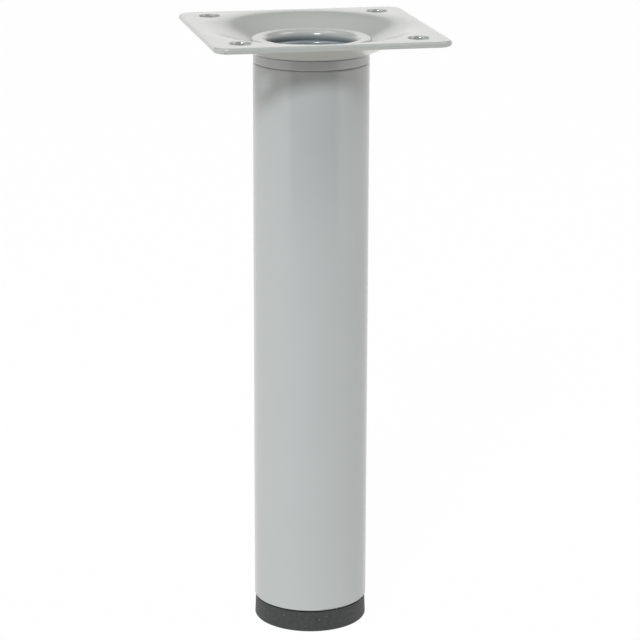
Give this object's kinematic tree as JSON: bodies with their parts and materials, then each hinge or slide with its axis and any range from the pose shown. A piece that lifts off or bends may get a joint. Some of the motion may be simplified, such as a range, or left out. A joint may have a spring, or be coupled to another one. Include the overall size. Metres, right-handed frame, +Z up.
{
  "type": "height adjustable table leg",
  "caption": "Round painted steel furniture leg with a dished square mounting plate, a rolled sleeve lip and a dark plastic levelling foot that screws out to adjust the height.",
  "frame": {"origin": "on the floor, on the leg's axis, with the foot screwed right in", "axes": "+Z up along the tube; X and Y along the plate's sides"},
  "size_m": [0.06, 0.06, 0.16],
  "materials": {
    "painted_plate": "satin powder coat, pale warm grey",
    "painted_tube": "satin powder coat, light grey",
    "insert_plastic": "moulded polypropylene, near black",
    "zinc_steel": "zinc plated",
    "foot_plastic": "moulded, fine matt grain, charcoal"
  },
  "bodies": {
    "leg": {"mounting_plate": "painted_plate", "connector_sleeve": "painted_plate", "spacer_ring": "painted_tube", "leg_tube": "painted_tube", "foot_insert": "insert_plastic", "insert_nut": "zinc_steel"},
    "bolt": {"levelling_bolt": "zinc_steel"},
    "foot": {"foot_pad": "foot_plastic"}
  },
  "joints": [
    {"name": "bolt_travel", "type": "slide", "parent": "leg", "child": "bolt", "axis": [0, 0, -1], "range_m": [0, 0.02]},
    {"name": "foot_turn", "type": "hinge", "parent": "bolt", "child": "foot", "pos_m": [0, 0, 0], "axis": [0, 0, -1], "range_deg": [0, 4800]}
  ],
  "couplings": [
    {"joint": "foot_turn", "follows": "bolt_travel", "rad_per_m": 4188.8}
  ]
}
